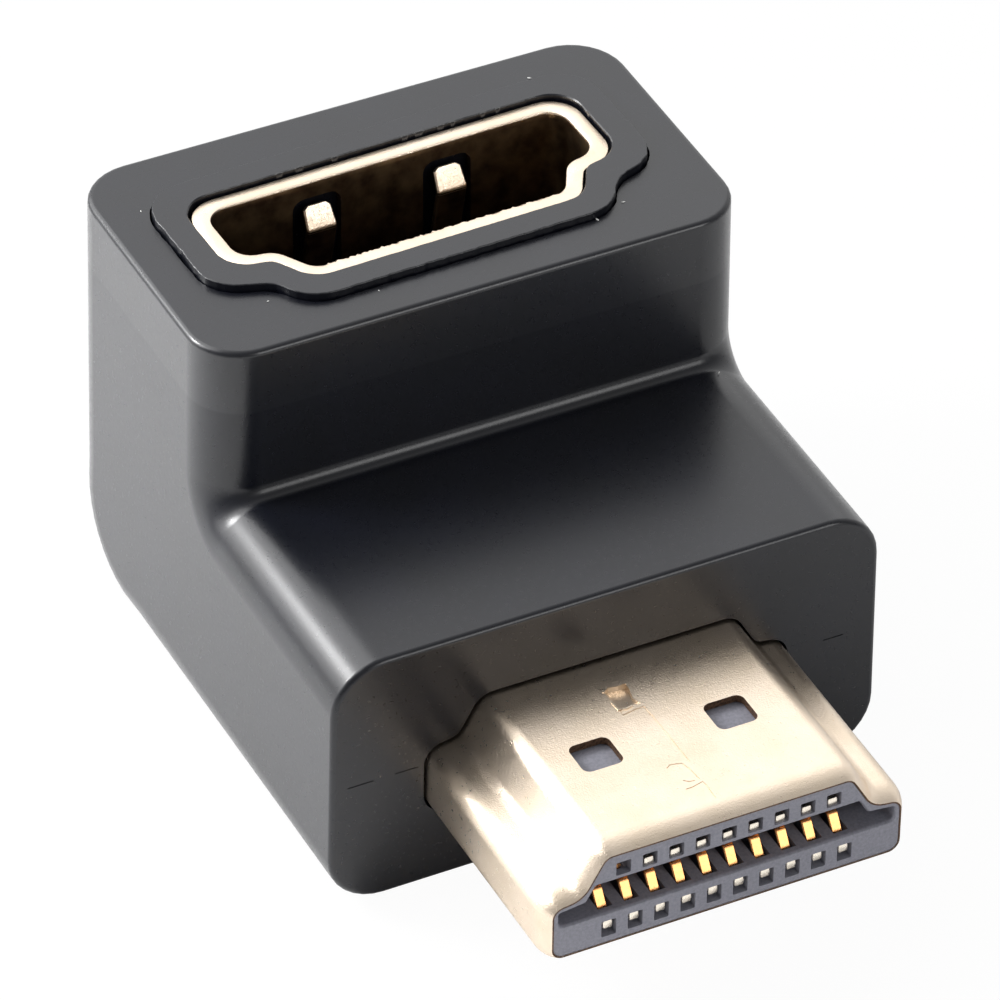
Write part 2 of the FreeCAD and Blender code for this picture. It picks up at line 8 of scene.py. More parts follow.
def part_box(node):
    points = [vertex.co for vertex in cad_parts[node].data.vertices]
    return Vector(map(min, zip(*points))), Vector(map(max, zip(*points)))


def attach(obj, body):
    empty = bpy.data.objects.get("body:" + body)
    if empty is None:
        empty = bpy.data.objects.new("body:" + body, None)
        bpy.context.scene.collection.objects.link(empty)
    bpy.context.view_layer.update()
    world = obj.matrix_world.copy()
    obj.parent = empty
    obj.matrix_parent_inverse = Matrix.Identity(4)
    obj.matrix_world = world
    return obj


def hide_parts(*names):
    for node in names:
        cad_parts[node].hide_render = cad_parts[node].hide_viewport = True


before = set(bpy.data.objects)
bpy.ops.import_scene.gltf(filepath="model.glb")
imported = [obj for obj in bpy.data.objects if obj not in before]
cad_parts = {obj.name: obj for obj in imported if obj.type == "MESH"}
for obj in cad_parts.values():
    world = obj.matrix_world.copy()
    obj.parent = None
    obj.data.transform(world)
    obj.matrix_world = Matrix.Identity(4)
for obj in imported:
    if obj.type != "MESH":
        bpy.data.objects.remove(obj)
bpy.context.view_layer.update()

# Right angle adapter. Lengths are in millimetres until a piece's mesh is made, and metres after that.
MM = 0.001


def box_mm(node):
    low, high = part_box(node)
    return low / MM, high / MM


body_low, body_high = box_mm("housing")
shell_low, shell_high = box_mm("plug_shell")
lip_top = box_mm("socket_shell")[1].z

# Body: an L whose arm lies along -Y and whose stem stands up
FRONT, BACK = body_low.y, body_high.y
BODY_WIDTH = body_high.x - body_low.x
BODY_HEIGHT = body_high.z
ARM_HEIGHT, ARM_REACH = 10.5, 9.85
STEM = FRONT + ARM_REACH                       # the stem's front face
BEND_RADIUS, ELBOW_RADIUS = 4.2, 0.5           # outside and inside of the L
INNER_ROUNDING, OUTER_ROUNDING = 2.0, 2.1      # long edges inside and outside the L
RIM_ROUNDING = 0.22                            # edges of the two end faces
DRAFT_FLOOR, DRAFT_TOP = 0.14, -0.09           # the mould's draft, added to half the width

# Outline that plug and socket share
PLUG_WIDTH, PLUG_HEIGHT = 13.9, 4.45
WIDE_HEIGHT, LAND_WIDTH, LAND_RISE = 2.75, 1.25, 0.2
NARROW_WIDTH = 9.7
SLANT = (PLUG_WIDTH / 2 - LAND_WIDTH - NARROW_WIDTH / 2) / (PLUG_HEIGHT - WIDE_HEIGHT - LAND_RISE)
SLANT_SHIFT = math.hypot(1, SLANT) - SLANT     # how far a corner on the slanted side moves for each inset
LAND_SHIFT = math.hypot(1, LAND_RISE / LAND_WIDTH) - LAND_RISE / LAND_WIDTH
CONVEX_RADIUS, CONCAVE_RADIUS = 0.75, 0.6
SHEET = 0.3                                    # steel sheet of both shells
PAST = 1.0                                     # how far a cut runs past what it cuts

# Plug's sleeve: rolled mouth, windows and ears
PLUG_FLOOR = shell_low.z
PLUG_TOP = PLUG_FLOOR + PLUG_HEIGHT
MOUTH, PLUG_END = shell_low.y, shell_high.y
MOUTH_LENGTH, MOUTH_ROLL, ROLL_POWER = 1.0, 0.3, 2.4
ROLL_STEPS = (0, 0.2, 0.4, 0.55, 0.7, 0.8, 0.9, 1.0)
RIM_INSET = 0.36                               # inside of the mouth, where the sheet is thinned
WAIST = 3.5                                    # a section of the sleeve, from the body's front face
WINDOWS = (-2.735, 2.41)
WINDOW_WIDTH, WINDOW_LENGTH, WINDOW_START, WINDOW_ROUNDING = 1.54, 1.48, 3.66, 0.3
WINDOW_CUT = (-0.6, 0.5)                       # reach of a window's cut, into the sleeve and out of it
EAR_LENGTH, EAR_WIDTH, EAR_LEVEL, EAR_ROOT = 2.2, 1.0, 1.55, 0.5

# Plug's insulator: a slot with an eased mouth, and a cell for each contact
FIT = 0.05
FACE = MOUTH + 0.02                            # it lies a little behind the sleeve's mouth
FACE_INSET = RIM_INSET + 0.01
SLOT_INSET, SLOT_FLOOR, SLOT_ROOF, SLOT_LENGTH = 0.57, 1.65, 3.0, 7.8
SLOT_EASE = ((0.0, 0.14), (0.015, 0.07), (0.05, 0.015), (0.07, 0.0), (0.07, -0.2))     # growth, depth
SLOT_RADII = (0.22, 0.12, 0.1, 0.15)           # from its floor up
PITCH, WIDE_COUNT, NARROW_COUNT = 1.0, 10, 9
CELL_WIDTH, CELL_BRIDGE, CELL_OPEN, CELL_ROUNDING = 0.56, 0.3, 5.6, 0.05
WIDE_CELL, NARROW_CELL = (0.965, 0.68), (3.47, 0.56)       # middle and height
CELL_REACH = 0.3                               # an open cell's cut, from the slot's wall into the slot

# Plug's contacts, by distance behind the insulator's face
STRIP_WIDTH, STRIP_THICK, STRIP_EASE = 0.4, 0.17, 0.22
STRIP_END = (0.9, 0.6)                         # width and thickness left at a strip's ends
TIP_START, TIP_END, TIP_BEND = 0.08, 0.36, 0.14
TIP_WIDTH, TIP_LENGTH, TIP_SWELL = 0.36, 0.25, 1.1
TIP_STEPS = (0.1, 0.3, 0.6)
TIP_HIGHLIGHT_SPAN = (FACE + 0.3, FACE + 0.5)           # where the painted highlight on the tips ends
WIDE_TIP_DROP, NARROW_TIP_DROP = 0.6, 0.3      # below the slot's wall, in the cell
CREST_START, CREST_END, CREST_RISE, CREST_BEND = 1.0, 1.3, 0.42, 0.2
ROOT_START, ROOT_BEND = 6.2, 0.3
TAIL_RISE, TAIL_END, TAIL_BEND = 0.7, 3.1, 0.2
BLUNT_CONTACT = ("narrow", 0)                  # it stops short on its ramp, so its cell shows empty
BLUNT_START, BLUNT_PART = 0.55, 0.3            # where it stops, along the strip and up the ramp

# Inner moulding: a core round the board, and a collar round the socket
core_low, core_high = box_mm("inner_mould")
board_low, board_high = box_mm("circuit_board")
CORE_ROOF = ARM_HEIGHT - 1.1
CORE_WALL = 1.2                                # in front of the board
CORE_ROUNDING, CORE_BEND = 0.8, 2.6
MOULD_GAP, PLUG_GAP = 0.05, 0.1
BOARD_GAP, BOARD_ROOM = 0.2, 1.1               # beside the board, and over and under it
COLLAR_WIDTH, COLLAR_ROUNDING = 1.8, 1.6
COLLAR_TOP = core_high.z
COLLAR_EASE = ((0.0, 0.05), (-0.015, 0.02), (-0.05, 0.0))  # growth, distance below the top
COLLAR_RAG, COLLAR_SEED = 0.035, 8.0
HOLE_EASE, HOLE_EASE_DEPTH = 0.015, 0.05       # the housing's hole round the collar
HOLE_RAG, HOLE_SEED = 0.03, 3.0
SEAT_GAP, SEAT_EASE, SEAT_EASE_DEPTH = 0.09, 0.03, 0.04    # the lip's seat in the collar
SEAT_RAG, SEAT_SEED = 0.012, 5.0
SHAFT_GAP, SHAFT_START = 0.4, 0.5

# Socket: where it sits, and its flat lip. Its top is turned and set back a little
SOCKET_BACK = BACK - 4.0
SOCKET_MIDDLE = SOCKET_BACK - PLUG_HEIGHT / 2
SEAT_TURN, SEAT_SHIFT = math.radians(1.3), 0.09
SOCKET_GAP = 0.05
LIP_WIDTH, LIP_HEIGHT, LIP_RADIUS, LIP_COVE = 0.66, 0.5, 1.2, 0.5
LIP_EASE, LIP_ARC, LIP_FOOT = 0.04, 0.012, 0.05    # its upper edge, halfway round it, its lower edge
BORE_COVE = 0.85
BORE_EASE = ((-0.08, 0.0), (-0.025, 0.025), (0.0, 0.08), (0.0, 0.3))       # growth, distance below the lip

# Socket's spring fingers and legs
FINGER_PLACE, FINGER_SLOT, FINGER_WIDTH, FINGER_THICK = 2.57, 1.9, 1.15, 0.25
FINGER_TOP, FINGER_LENGTH = 0.7, 5.6
FINGER_TIP_WIDTH, FINGER_TIP_LENGTH = 0.7, 0.24
FINGER_LINE = ((0.02, 0.42, 0), (0.5, 1.15, 0.16), (0.1, 2.9, 0.5),         # out of the wall into the bore,
               (0, FINGER_LENGTH - 0.5, 0.5), (0, FINGER_LENGTH + 0.3, 0))  # below the slot's top, bend
SLOT_FOOT, SLOT_HEAD = 0.3, 0.45               # roundings of the slot that a finger stands in
EDGE_BRIGHT, UPRIGHT = 0.1, 0.1                # bright edge under the lip, above the bore's painted shade; the tilt that counts as upright
BORE_SHADE_LEVEL = 1.6                               # this far below the slot's top all faces take the painted shade
LEG_WIDTH, LEG_LENGTH, LEG_PLACE, SIDE_LEG_LEVEL = 1.2, 1.6, 4.6, 1.5

# The lip's trimmed edge, on the socket's narrow side
TRIM_SPAN, TRIM_DEPTH, TRIM_POINTS = (-4.4, 4.6), 0.4, 360
TRIM_BURRS = (0.03, 0.11, 0.09)                # amounts on the bore's edge, from the lip down
TRIM_LEVEL = 0.5                               # the part of a burr that is there all along
TRIM_WAVES = ((5, 0.6, 2.0), (13, 0.8, 6.0))   # waves in a millimetre, weight, seed
RAG_WAVES = ((2.2, 1.0), (7.0, 0.8))           # waves in a millimetre, weight

# Lines on top of the plug, as (x, y from the body's front face): the notch that locks the sleeve's seam,
# the seam, and the curled cuts beside it
NOTCH = [(-1.01, -1.6), (-0.8, -1.49), (-0.52, -1.54), (-0.14, -1.55), (-0.14, -1.78), (-0.18, -1.94),
         (-0.26, -2.31), (-0.14, -2.66), (-0.46, -2.63), (-0.72, -2.68), (-0.94, -2.66), (-0.98, -2.14)]
SEAMS = [
    [(-0.94, -2.69), (-0.98, -2.96), (-0.43, -2.87), (-0.12, -2.85)],
    [(-0.12, -2.85), (-0.07, -3.95), (-0.06, -5.04), (-0.04, -6.11)],
    [(-0.9, -6.08), (-0.73, -5.96), (-0.39, -6.04), (-0.31, -6.1), (-0.22, -6.46), (-0.16, -7.06)],
    [(-0.7, -6.86), (-0.55, -7.01), (-0.34, -7.04)],
    [(-0.82, -7.32), (-0.55, -7.31), (-0.12, -7.2), (-0.1, -7.38), (-0.13, -8.17)],
]

NOTCH_BURRS = [
    [(-1.05, -1.62), (-0.8, -1.46), (-0.52, -1.51), (-0.12, -1.52)],
    [(-1.03, -2.2), (-0.99, -2.66), (-0.72, -2.72), (-0.46, -2.67)],
]
NOTCH_DEPTH, NOTCH_SLOPE, NOTCH_ROOF = 0.35, 0.1, 0.1
SEAM_WIDTH, SEAM_DEPTH = 0.035, 0.045
BURR_WIDTH, BURR_ROOT, BURR_HEIGHT = 0.06, 0.05, 0.035

# Crumbs of flash, as (x, y from the body's front face, height of the face under them, radius)
CRUMBS = [
    (6.53, 12.14, BODY_HEIGHT, 0.05), (5.25, 11.65, BODY_HEIGHT, 0.06),
    (-1.9, 19.75, BODY_HEIGHT, 0.05), (6.9, 20.2, BODY_HEIGHT, 0.05),
    (-8.9, 18.9, BODY_HEIGHT, 0.035), (-7.1, 12.3, BODY_HEIGHT, 0.035),
    (-3.4, 11.2, BODY_HEIGHT, 0.03), (9.0, 9.2, ARM_HEIGHT, 0.04),
]
CRUMB_STRETCH, CRUMB_TURN = Vector((1.5, 0.6, 0.5)), 1.9
CRUMB_WAVES, CRUMB_ROUGH, CRUMB_SIT = 9, 0.5, 0.3

# Flash where the mould parts, on the front face beside the plug, as (left, right), and the level where the
# mould's insert for the socket begins
PARTING_LEVEL = 5.3
PARTING_FLASH = [(-10.0, -8.9), (-8.2, -7.2), (8.4, 9.3)]
FLASH_ROOT, FLASH_STAND, FLASH_THICK = 0.1, 0.005, 0.07
INSERT_LEVEL, INSERT_BLEND = BODY_HEIGHT - 2.6, 0.04

# Steps of the curves
ARC_STEPS, SLOT_STEPS, CELL_STEPS, RIM_STEPS = 8, 5, 2, 5
ELBOW_STEPS = 36
FINGER_STEPS = 8
RAGGED_POINTS = 520


def clamp(value, low, high):
    return max(low, min(high, value))


def srgb(code):
    """A colour written as sRGB hex, as linear RGBA."""
    channels = [int(code[i:i + 2], 16) / 255 for i in (0, 2, 4)]
    return [c / 12.92 if c <= 0.04045 else ((c + 0.055) / 1.055) ** 2.4 for c in channels] + [1.0]


def rounded_outline(corners, steps=ARC_STEPS):
    """Points of a closed outline whose corners (x, y, radius) are rounded; the same count for any size."""
    points = []
    for i, (x, y, radius) in enumerate(corners):
        corner = Vector((x, y))
        back = (Vector(corners[i - 1][:2]) - corner).normalized()
        ahead = (Vector(corners[(i + 1) % len(corners)][:2]) - corner).normalized()
        half = back.angle(ahead) / 2
        centre = corner + (back + ahead).normalized() * (radius / math.sin(half))
        start = corner + back * (radius / math.tan(half)) - centre
        turn = math.pi - 2 * half
        if back.cross(ahead) > 0:
            turn = -turn
        for step in range(steps + 1):
            angle = turn * step / steps
            spun = Vector((start.x * math.cos(angle) - start.y * math.sin(angle),
                           start.x * math.sin(angle) + start.y * math.cos(angle)))
            points.append(centre + spun)
    return points


def mating_corners(inset, convex=None, concave=None):
    """Corners of the shared outline moved inwards by inset, from its wide side up."""
    convex = CONVEX_RADIUS - inset if convex is None else convex
    concave = CONCAVE_RADIUS + inset if concave is None else concave
    half = [
        (PLUG_WIDTH / 2 - inset, inset, convex),
        (PLUG_WIDTH / 2 - inset, WIDE_HEIGHT - inset * LAND_SHIFT, convex),
        (PLUG_WIDTH / 2 - LAND_WIDTH - inset * SLANT_SHIFT, WIDE_HEIGHT + LAND_RISE - inset, concave),
        (NARROW_WIDTH / 2 - inset * SLANT_SHIFT, PLUG_HEIGHT - inset, convex),
    ]
    return half + [(-x, y, radius) for x, y, radius in reversed(half)]


def plug_loop(inset, y, **radii):
    """The outline round the plug's axis, in a plane across it."""
    return [Vector((p.x, y, PLUG_FLOOR + p.y)) for p in rounded_outline(mating_corners(inset, **radii))]


def seated(point):
    """The point as the socket sits: its top is turned and set back, its foot is true on the board."""
    height = clamp((point.z - board_high.z) / (lip_top - board_high.z), 0, 1)
    turn = SEAT_TURN * height
    y = point.y - SOCKET_MIDDLE
    return Vector((point.x - y * turn, point.y + point.x * turn + SEAT_SHIFT * height, point.z))


def socket_loop(inset, z, **radii):
    """The outline round the socket's axis, wide side to the back."""
    outline = rounded_outline(mating_corners(inset, **radii))
    return [seated(Vector((p.x, SOCKET_BACK - p.y, z))) for p in outline]


def loft(mesh, loops, start_cap=True, end_cap=True, ring=False):
    """Joins loops of equal count by quads."""
    rows = [[mesh.verts.new(point) for point in loop] for loop in loops]
    pairs = list(zip(rows, rows[1:] + rows[:1])) if ring else list(zip(rows, rows[1:]))
    for first, second in pairs:
        for i in range(len(first)):
            j = (i + 1) % len(first)
            mesh.faces.new((first[i], first[j], second[j], second[i]))
    if start_cap and not ring:
        mesh.faces.new(list(reversed(rows[0])))
    if end_cap and not ring:
        mesh.faces.new(rows[-1])
    return rows


def closed(mesh):
    bmesh.ops.recalc_face_normals(mesh, faces=mesh.faces)
    return mesh


def block(low, high, rounding=0.0):
    """A box as a cutter or a leg, its upright edges rounded where that is asked for."""
    mesh = bmesh.new()
    corners = [(low[0], low[1]), (high[0], low[1]), (high[0], high[1]), (low[0], high[1])]
    if rounding:
        corners = [tuple(p) for p in rounded_outline([(x, y, rounding) for x, y in corners])]
    loft(mesh, [[Vector((x, y, z)) for x, y in corners] for z in (low[2], high[2])])
    return mesh


def resampled(loop, count=RAGGED_POINTS):
    """The same closed loop with its points evenly spaced."""
    lengths = [(loop[(i + 1) % len(loop)] - p).length for i, p in enumerate(loop)]
    step = sum(lengths) / count
    points, side, walked = [], 0, 0.0
    for i in range(count):
        while walked + lengths[side] < i * step - 1e-9:
            walked += lengths[side]
            side += 1
        points.append(loop[side].lerp(loop[(side + 1) % len(loop)], (i * step - walked) / lengths[side]))
    return points


def ragged(loop, amount, seed):
    """Moves the points of a level loop in and out, as a hand-fitted or flashed edge is."""
    points = resampled(loop)
    moved = []
    for i, p in enumerate(points):
        along = points[(i + 1) % len(points)] - points[i - 1]
        out = Vector((along.y, -along.x, 0)).normalized()
        place = Vector((p.x, p.y, seed))
        moved.append(p + out * amount * sum(weight * noise.noise(place * rate) for rate, weight in RAG_WAVES))
    return moved


def bent_path(corners, steps=5):
    """An open path through (y, z, radius) corners, with arcs at its bends."""
    points = []
    for i, (y, z, radius) in enumerate(corners):
        corner = Vector((y, z))
        if not radius:
            points.append(corner)
            continue
        back = (Vector(corners[i - 1][:2]) - corner).normalized()
        ahead = (Vector(corners[i + 1][:2]) - corner).normalized()
        half = back.angle(ahead) / 2
        reach = radius / math.tan(half)
        for step in range(steps + 1):
            t = step / steps
            points.append(corner + back * reach * (1 - t) ** 2 + ahead * reach * t ** 2)
    return points


def sweep(mesh, path, x, width, thick, tip_width=None, tip_length=0.0, tip_swell=0.0):
    """A strip along a path in a (y, z) plane, with eased edges; its first end narrows to a rounded tip."""
    ease, upright = thick * STRIP_EASE, 1 - 2 * STRIP_EASE
    walked, loops = 0.0, []
    if tip_length:
        ahead = (path[1] - path[0]).normalized()
        path = [path[0]] + [path[0] + ahead * tip_length * part for part in TIP_STEPS] + path[1:]
    for i, p in enumerate(path):
        ahead, back = path[min(i + 1, len(path) - 1)], path[max(i - 1, 0)]
        along = (ahead - back).normalized()
        normal = Vector((-along.y, along.x))
        if i:
            walked += (p - path[i - 1]).length
        half, tall = width / 2, thick / 2
        if tip_width is not None and walked < tip_length:
            half = tip_width / 2 + (half - tip_width / 2) * math.sin(math.pi / 2 * walked / tip_length)
            tall *= 1 + tip_swell * (1 - walked / tip_length)
        rim = [(half - ease, 1), (half, upright), (half, -upright), (half - ease, -1),
               (ease - half, -1), (-half, -upright), (-half, upright), (ease - half, 1)]
        if i in (0, len(path) - 1):
            rim = [(a * STRIP_END[0], b * STRIP_END[1]) for a, b in rim]
        loops.append([Vector((x + a, p.x + normal.x * b * tall, p.y + normal.y * b * tall))
                      for a, b in rim])
    loft(mesh, loops)
    return mesh


def as_object(name, mesh):
    closed(mesh)
    data = bpy.data.meshes.new(name)
    bmesh.ops.scale(mesh, vec=(MM, MM, MM), verts=mesh.verts)
    mesh.to_mesh(data)
    mesh.free()
    piece = bpy.data.objects.new(name, data)
    bpy.context.scene.collection.objects.link(piece)
    return piece


def combined(piece, mesh, operation="DIFFERENCE", material=None):
    """Cuts the mesh from the piece, or joins it, and keeps the result; its own faces take the material."""
    cutter = as_object("cutter", mesh)
    step = piece.modifiers.new("cut", "BOOLEAN")
    step.operation, step.solver, step.object = operation, "EXACT", cutter
    if material:
        cutter.data.materials.append(material)
        step.material_mode = "TRANSFER"
    shape = bpy.data.meshes.new_from_object(piece.evaluated_get(bpy.context.evaluated_depsgraph_get()))
    piece.modifiers.clear()
    old, piece.data = piece.data, shape
    bpy.data.meshes.remove(old)
    bpy.data.objects.remove(cutter)
    return piece


def finished(piece, material, slot, *nodes, sharp=35):
    """Smooth shading, material, a place under the root body, and the CAD parts that it replaces hidden."""
    piece.data.shade_smooth()
    piece.data.set_sharp_from_angle(angle=math.radians(sharp))
    piece.modifiers.new("flats", "WEIGHTED_NORMAL").keep_sharp = True
    if not piece.data.materials:
        piece.data.materials.append(material)
    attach(piece, "root")
    if nodes:
        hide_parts(*nodes)
    return piece


def section(inset, outer, tilt):
    """One cross-section of the body, as (x, distance from the elbow's centre)."""
    half, inner = BODY_WIDTH / 2 - inset, ELBOW_RADIUS + inset
    far = outer - inset / math.cos(tilt)
    near_round, far_round = INNER_ROUNDING - inset, OUTER_ROUNDING - inset
    points = []
    for sign_x, s, radius, stretch, first in (
            (1, inner, near_round, 1.0, -90), (1, far, far_round, 1 / math.cos(tilt), 0),
            (-1, far, far_round, 1 / math.cos(tilt), 90), (-1, inner, near_round, 1.0, 180)):
        towards = 1 if s == inner else -1
        for step in range(ARC_STEPS + 1):
            angle = math.radians(first + 90 * step / ARC_STEPS)
            x = sign_x * (half - radius) + radius * math.cos(angle)
            points.append((x, s + towards * radius * stretch + radius * stretch * math.sin(angle)))
    return points


def outer_reach(angle):
    """Distance from the elbow's centre to the outside of the L, and the slant of the wall there."""
    y0, z0 = STEM - ELBOW_RADIUS, ARM_HEIGHT + ELBOW_RADIUS
    dy, dz = math.sin(angle), -math.cos(angle)
    floor = z0 / -dz if dz < -1e-6 else math.inf
    wall = (BACK - y0) / dy if dy > 1e-6 else math.inf
    if y0 + floor * dy <= BACK - BEND_RADIUS:
        return floor, angle
    if z0 + wall * dz >= BEND_RADIUS:
        return wall, math.pi / 2 - angle
    # Otherwise the ray meets the bend: from here on, places are seen from the bend's centre
    cy, cz = y0 - (BACK - BEND_RADIUS), z0 - BEND_RADIUS
    along = cy * dy + cz * dz
    reach = -along + math.sqrt(along ** 2 - cy ** 2 - cz ** 2 + BEND_RADIUS ** 2)
    ny, nz = (cy + reach * dy) / BEND_RADIUS, (cz + reach * dz) / BEND_RADIUS
    return reach, math.acos(clamp(ny * dy + nz * dz, -1, 1))


def body_loop(origin, angle, outer, tilt=0.0, inset=0.0):
    """A cross-section set in space: it runs from origin, a (y, z), at an angle from straight down."""
    dy, dz = math.sin(angle), -math.cos(angle)
    return [Vector((x, origin[0] + s * dy, origin[1] + s * dz)) for x, s in section(inset, outer, tilt)]


def core_loop(grow, x):
    """Side view of the body's core at one x."""
    low_y, high_y = core_low.y - grow, core_high.y + grow
    low_z, high_z = core_low.z - grow, CORE_ROOF + grow
    corner = CORE_ROUNDING + grow
    outline = rounded_outline([(low_y, low_z, corner), (high_y, low_z, CORE_BEND + grow),
                               (high_y, high_z, corner), (low_y, high_z, corner)])
    return [Vector((x, p.x, p.y)) for p in outline]


def drafted(point):
    """The point with the mould's draft: the body is a little wider at the floor than at its top."""
    draft = DRAFT_FLOOR + (DRAFT_TOP - DRAFT_FLOOR) * point.z / BODY_HEIGHT
    return Vector((point.x * (1 + draft / (BODY_WIDTH / 2)), point.y, point.z))


def make_housing(material):
    """The L-shaped overmoulding, lofted round its elbow, with its cavity and openings cut."""
    y0, z0 = STEM - ELBOW_RADIUS, ARM_HEIGHT + ELBOW_RADIUS
    stem_outer = BACK - y0
    rim = [(RIM_ROUNDING * (1 - math.sin(a)), RIM_ROUNDING * (1 - math.cos(a)))
           for a in (math.pi / 2 * i / RIM_STEPS for i in range(RIM_STEPS + 1))]
    loops = [body_loop((FRONT + back, z0), 0.0, z0, inset=inset) for back, inset in reversed(rim)]
    for i in range(1, ELBOW_STEPS):
        angle = math.pi / 2 * i / ELBOW_STEPS
        loops.append(body_loop((y0, z0), angle, *outer_reach(angle)))
    loops += [body_loop((y0, BODY_HEIGHT - down), math.pi / 2, stem_outer, inset=inset)
              for down, inset in rim]
    mesh = bmesh.new()
    loft(mesh, [[drafted(p) for p in loop] for loop in loops])
    piece = as_object("housing_skin", mesh)
    cavity = bmesh.new()
    loft(cavity, [core_loop(MOULD_GAP, side * (core_high.x + MOULD_GAP)) for side in (-1, 1)])
    combined(piece, cavity)
    plug_hole = bmesh.new()
    loft(plug_hole, [plug_loop(-PLUG_GAP, y) for y in (FRONT - PAST, core_low.y)])
    combined(piece, plug_hole)
    eased = MOULD_GAP + HOLE_EASE
    collar_hole = bmesh.new()
    loft(collar_hole, [ragged(collar_loop(grow, z), HOLE_RAG, HOLE_SEED) for grow, z in (
        (MOULD_GAP, CORE_ROOF), (MOULD_GAP, BODY_HEIGHT - HOLE_EASE_DEPTH), (eased, BODY_HEIGHT),
        (eased, BODY_HEIGHT + PAST))])
    combined(piece, collar_hole)
    for left, right in PARTING_FLASH:
        ridge = bmesh.new()
        path = [Vector((y, PARTING_LEVEL)) for y in (FRONT - FLASH_STAND, FRONT + FLASH_ROOT)]
        sweep(ridge, path, (left + right) / 2, right - left, FLASH_THICK)
        combined(piece, ridge)
    return finished(piece, material, "housing", "housing")


def collar_loop(grow, z):
    """The collar's outline, moved outwards by grow."""
    radii = {"convex": COLLAR_ROUNDING + grow, "concave": COLLAR_ROUNDING - grow}
    return socket_loop(-COLLAR_WIDTH - grow, z, **radii)


def make_inner_mould(material):
    """The first moulding: a core in the housing, and the collar that shows round the socket."""
    mesh = bmesh.new()
    loft(mesh, [core_loop(0.0, side * core_high.x) for side in (-1, 1)])
    piece = as_object("inner_moulding", mesh)
    collar = bmesh.new()
    loft(collar, [ragged(collar_loop(grow, z), COLLAR_RAG, COLLAR_SEED) for grow, z in (
        (0.0, CORE_ROOF - PAST), *((grow, COLLAR_TOP - down) for grow, down in COLLAR_EASE))])
    combined(piece, collar, "UNION")
    room = block((board_low.x - BOARD_GAP, core_low.y + CORE_WALL, board_low.z - BOARD_ROOM),
                 (board_high.x + BOARD_GAP, board_high.y + BOARD_GAP, board_high.z + BOARD_ROOM))
    combined(piece, room)
    shaft = bmesh.new()
    loft(shaft, [socket_loop(-SHAFT_GAP, z) for z in (board_high.z + SHAFT_START, COLLAR_TOP + PAST)])
    combined(piece, shaft)
    eased = SEAT_GAP + SEAT_EASE
    levels = ((SEAT_GAP, lip_top - LIP_HEIGHT - FIT), (SEAT_GAP, COLLAR_TOP - SEAT_EASE_DEPTH),
              (eased, COLLAR_TOP), (eased, COLLAR_TOP + PAST))
    loops = [socket_loop(-LIP_WIDTH - grow, z, convex=LIP_RADIUS, concave=LIP_COVE) for grow, z in levels]
    seat = bmesh.new()
    loft(seat, [ragged(loop, SEAT_RAG, SEAT_SEED) for loop in loops])
    combined(piece, seat)
    hole = bmesh.new()
    loft(hole, [plug_loop(-FIT, y) for y in (core_low.y - PAST, core_low.y + CORE_WALL + FIT)])
    combined(piece, hole)
    return finished(piece, material, "inner_mould", "inner_mould")


def ribbon(points, width, low, high):
    """A thin upright band along a line of (x, y) points, as a cutter for scribed seams."""
    left, right = [], []
    for i, point in enumerate(points):
        p = Vector(point)
        along = (Vector(points[min(i + 1, len(points) - 1)]) - Vector(points[max(i - 1, 0)])).normalized()
        side = Vector((-along.y, along.x)) * width / 2
        left.append(p + side)
        right.append(p - side)
    outline = left + right[::-1]
    mesh = bmesh.new()
    loft(mesh, [[Vector((p.x, FRONT + p.y, z)) for p in outline] for z in (low, high)])
    return mesh


def make_plug_sleeve(material, cut_material):
    """The plug's sleeve: sheet steel wrapped to the outline, its mouth rolled in, its seam locked on top."""
    roll = [(MOUTH + MOUTH_LENGTH * (1 - t), MOUTH_ROLL * t ** ROLL_POWER) for t in ROLL_STEPS]
    mesh = bmesh.new()
    outside = [(PLUG_END, 0.0), (FRONT - WAIST, 0.0), *roll]
    inside = [(MOUTH, RIM_INSET), (MOUTH + MOUTH_LENGTH, SHEET), (PLUG_END, SHEET)]
    loft(mesh, [plug_loop(inset, y) for y, inset in outside + inside], ring=True)
    piece = as_object("plug_sleeve", mesh)
    piece.data.materials.append(material)
    piece.data.materials.append(cut_material)
    for face in piece.data.polygons:
        if all(abs(piece.data.vertices[v].co.y - MOUTH * MM) < 1e-7 for v in face.vertices):
            face.material_index = 1            # the sheared edge round the mouth
    deep, out = WINDOW_CUT
    for x in WINDOWS:
        low, high = FRONT - WINDOW_START - WINDOW_LENGTH, FRONT - WINDOW_START
        for z0, z1 in ((PLUG_TOP + deep, PLUG_TOP + out), (PLUG_FLOOR - out, PLUG_FLOOR - deep)):
            combined(piece, block((x - WINDOW_WIDTH / 2, low, z0), (x + WINDOW_WIDTH / 2, high, z1),
                                  WINDOW_ROUNDING), material=cut_material)
    notch = bmesh.new()
    loft(notch, [[Vector((x, FRONT + y, PLUG_TOP - NOTCH_DEPTH - NOTCH_SLOPE * y)) for x, y in NOTCH],
                 [Vector((x, FRONT + y, PLUG_TOP + NOTCH_ROOF)) for x, y in NOTCH]])
    combined(piece, notch)
    for line in SEAMS:
        combined(piece, ribbon(line, SEAM_WIDTH, PLUG_TOP - SEAM_DEPTH, PLUG_TOP + NOTCH_ROOF))
    for line in NOTCH_BURRS:
        combined(piece, ribbon(line, BURR_WIDTH, PLUG_TOP - BURR_ROOT, PLUG_TOP + BURR_HEIGHT), "UNION")
    for side in (-1, 1):
        x = side * (PLUG_WIDTH / 2 - SHEET / 2)
        level = PLUG_FLOOR + EAR_LEVEL
        ear = block((x - SHEET / 2, PLUG_END - EAR_ROOT, level - EAR_WIDTH / 2),
                    (x + SHEET / 2, PLUG_END + EAR_LENGTH, level + EAR_WIDTH / 2))
        combined(piece, ear, "UNION")
    return finished(piece, material, "plated_shell", "plug_shell")


